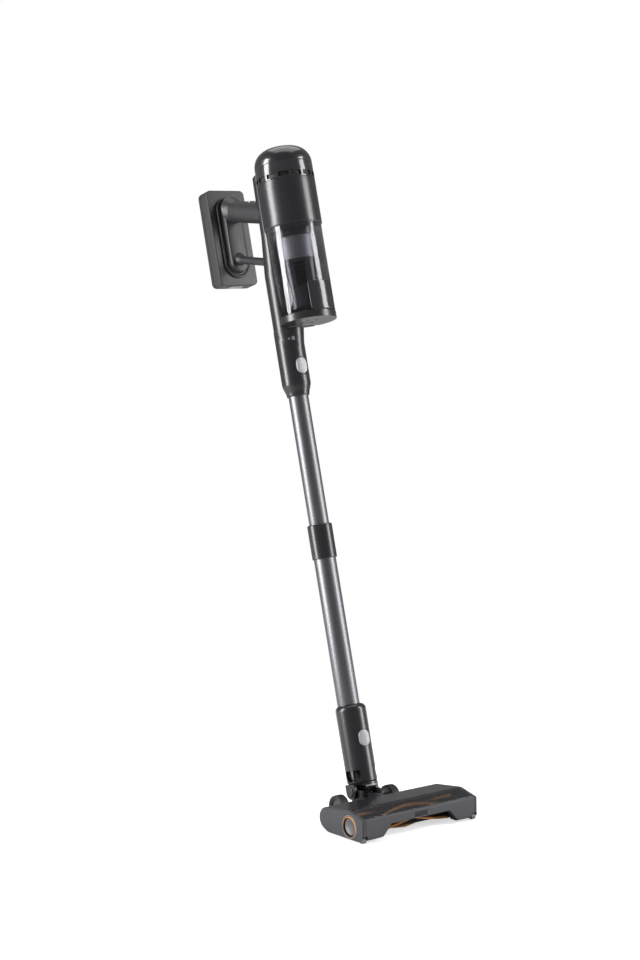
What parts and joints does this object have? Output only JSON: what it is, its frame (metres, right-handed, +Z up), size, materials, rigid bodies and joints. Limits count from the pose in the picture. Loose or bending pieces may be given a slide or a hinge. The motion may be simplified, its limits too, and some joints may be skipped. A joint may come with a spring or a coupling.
{
  "type": "cordless stick vacuum",
  "caption": "Cordless stick vacuum: powered floor head on a swivel neck, telescoping wand, clear dust bin under a domed motor housing, bar grip with a battery box.",
  "frame": {"origin": "on the floor, under the middle of the floor head", "axes": "+Z up, -Y the way the floor head faces, +X to the user's left hand as seen from the front"},
  "size_m": [0.2402, 0.5638, 1.128],
  "materials": {
    "housing_plastic": "satin moulded",
    "handle_plastic": "fine texture moulded",
    "gloss_plastic": "polished moulded",
    "smoked_clear": "polished clear, smoked",
    "dome_clear": "polished",
    "wand_metal": "anodised, satin",
    "silver_plastic": "satin silver",
    "bumper_plastic": "fine texture moulded",
    "cap_plastic": "satin moulded",
    "amber_plastic": "moulded",
    "brush_metal": "anodised black",
    "bristle_nylon": "nylon tufts",
    "soft_rubber": "matt",
    "wheel_rubber": "matt",
    "roller_plastic": "matt",
    "steel_mesh": "pierced",
    "motor_metal": "drawn",
    "pin_steel": "ground",
    "filter_paper": "pleated",
    "filter_foam": "open foam",
    "board_laminate": "laminate",
    "cell_sleeve": "sleeved",
    "mark_white": "printed",
    "key_grey": "moulded",
    "lamp_black": "polished",
    "bush_acetal": "moulded"
  },
  "bodies": {
    "hand_unit": {"neck_socket": "housing_plastic", "duct_spine": "housing_plastic", "motor_housing": "housing_plastic", "exhaust_grille": "housing_plastic", "vacuum_motor": "motor_metal", "motor_mount": "soft_rubber", "control_board": "board_laminate", "hepa_filter": "filter_paper", "dust_bin": "smoked_clear", "bin_base": "housing_plastic", "cyclone_cap": "gloss_plastic", "cyclone_mesh": "steel_mesh", "cyclone_skirt": "gloss_plastic", "pre_filter": "filter_foam", "inlet_duct": "gloss_plastic", "hinge_pin": "pin_steel", "handle_grip": "handle_plastic", "handle_strut": "handle_plastic", "handle_pad": "handle_plastic", "neck_marks": "mark_white"},
    "dome": {"dome_cover": "dome_clear"},
    "rotor": {"impeller": "motor_metal"},
    "bin_door": {"bin_door": "housing_plastic", "door_seal": "soft_rubber"},
    "door_latch": {"door_latch": "gloss_plastic"},
    "wand_button": {"wand_release_button": "silver_plastic"},
    "power_button": {"power_button": "key_grey"},
    "mode_button": {"mode_button": "silver_plastic"},
    "battery": {"battery_case": "handle_plastic", "battery_cells": "cell_sleeve"},
    "battery_catch": {"battery_catch": "silver_plastic"},
    "upper_wand": {"upper_tube": "wand_metal", "guide_bush": "bush_acetal"},
    "lower_wand": {"lower_tube": "wand_metal", "telescope_collar": "housing_plastic"},
    "lock_button": {"lock_button": "silver_plastic"},
    "connector": {"lower_connector": "housing_plastic", "connector_rim": "silver_plastic", "flex_hose": "soft_rubber", "neck_pins": "housing_plastic"},
    "head_button": {"head_release_button": "silver_plastic"},
    "swivel": {"swivel_base": "housing_plastic"},
    "floor_head": {"head_base": "housing_plastic", "head_cover": "housing_plastic", "brush_window": "smoked_clear", "front_bumper": "bumper_plastic", "end_cap_left": "cap_plastic", "end_cap_right": "cap_plastic", "side_ring": "amber_plastic", "headlight": "lamp_black", "brush_motor": "motor_metal", "drive_belt": "soft_rubber", "rear_axles": "pin_steel"},
    "brush": {"brush_core": "brush_metal", "bristle_strips": "bristle_nylon"},
    "motor_pulley": {"motor_pulley": "pin_steel"},
    "front_roller_left": {"front_roller_left": "roller_plastic"},
    "front_roller_right": {"front_roller_right": "roller_plastic"},
    "rear_wheel_left": {"rear_wheel_left": "wheel_rubber"},
    "rear_wheel_right": {"rear_wheel_right": "wheel_rubber"}
  },
  "joints": [
    {"name": "dome_lift", "type": "slide", "parent": "hand_unit", "child": "dome", "axis": [0, 0.2402, 0.9707], "range_m": [0, 0.06]},
    {"name": "impeller_spin", "type": "hinge", "parent": "hand_unit", "child": "rotor", "pos_m": [0, 0.26469, 0.98606], "axis": [0, 0.2402, 0.9707], "continuous": true},
    {"name": "bin_door_swing", "type": "hinge", "parent": "hand_unit", "child": "bin_door", "pos_m": [0, 0.25478, 0.82111], "axis": [1, 0, 0], "range_deg": [0, 75]},
    {"name": "door_latch_slide", "type": "slide", "parent": "hand_unit", "child": "door_latch", "axis": [0, 0.2402, 0.9707], "range_m": [0, 0.005], "stiffness_N_per_m": 400},
    {"name": "wand_button_press", "type": "slide", "parent": "hand_unit", "child": "wand_button", "axis": [0, 0.9707, -0.2402], "range_m": [0, 0.002], "stiffness_N_per_m": 400},
    {"name": "power_button_press", "type": "slide", "parent": "hand_unit", "child": "power_button", "axis": [0, 0.0628, -0.998], "range_m": [0, 0.0015], "stiffness_N_per_m": 400},
    {"name": "mode_button_press", "type": "slide", "parent": "hand_unit", "child": "mode_button", "axis": [0, 0.0628, -0.998], "range_m": [0, 0.0015], "stiffness_N_per_m": 400},
    {"name": "battery_slide", "type": "slide", "parent": "hand_unit", "child": "battery", "axis": [0, 0.9707, -0.2402], "range_m": [0, 0.05]},
    {"name": "battery_catch_press", "type": "slide", "parent": "battery", "child": "battery_catch", "axis": [0, 0.2402, 0.9707], "range_m": [0, 0.0012], "stiffness_N_per_m": 400},
    {"name": "wand_pull", "type": "slide", "parent": "hand_unit", "child": "upper_wand", "axis": [0, -0.2402, -0.9707], "range_m": [0, 0.06]},
    {"name": "telescope", "type": "slide", "parent": "upper_wand", "child": "lower_wand", "axis": [0, 0.2402, 0.9707], "range_m": [0, 0.18]},
    {"name": "lock_button_press", "type": "slide", "parent": "lower_wand", "child": "lock_button", "axis": [0, -0.9707, 0.2402], "range_m": [0, 0.0014], "stiffness_N_per_m": 400},
    {"name": "head_pull", "type": "slide", "parent": "lower_wand", "child": "connector", "axis": [0, -0.2402, -0.9707], "range_m": [0, 0.06]},
    {"name": "head_button_press", "type": "slide", "parent": "connector", "child": "head_button", "axis": [0, 0.9707, -0.2402], "range_m": [0, 0.002], "stiffness_N_per_m": 400},
    {"name": "neck_pitch", "type": "hinge", "parent": "connector", "child": "swivel", "pos_m": [0, 0.0962, 0.0388], "axis": [1, 0, 0], "range_deg": [-13.9, 68], "deforming": ["flex_hose"]},
    {"name": "neck_roll", "type": "hinge", "parent": "swivel", "child": "floor_head", "pos_m": [0, 0.058, 0.0236], "axis": [0, 1, 0], "range_deg": [-25, 25]},
    {"name": "brush_spin", "type": "hinge", "parent": "floor_head", "child": "brush", "pos_m": [0, -0.0236, 0.021], "axis": [1, 0, 0], "continuous": true},
    {"name": "motor_pulley_spin", "type": "hinge", "parent": "floor_head", "child": "motor_pulley", "pos_m": [0, 0.02, 0.0186], "axis": [1, 0, 0], "continuous": true},
    {"name": "front_roller_left_spin", "type": "hinge", "parent": "floor_head", "child": "front_roller_left", "pos_m": [-0.115, -0.0524, 0.005], "axis": [1, 0, 0], "continuous": true},
    {"name": "front_roller_right_spin", "type": "hinge", "parent": "floor_head", "child": "front_roller_right", "pos_m": [0.115, -0.0524, 0.005], "axis": [1, 0, 0], "continuous": true},
    {"name": "rear_wheel_left_spin", "type": "hinge", "parent": "floor_head", "child": "rear_wheel_left", "pos_m": [-0.054, 0.0902, 0.0205], "axis": [1, 0, 0], "continuous": true},
    {"name": "rear_wheel_right_spin", "type": "hinge", "parent": "floor_head", "child": "rear_wheel_right", "pos_m": [0.054, 0.0902, 0.0205], "axis": [1, 0, 0], "continuous": true}
  ],
  "couplings": [
    {"joint": "motor_pulley_spin", "follows": "brush_spin", "ratio": 2.4}
  ]
}
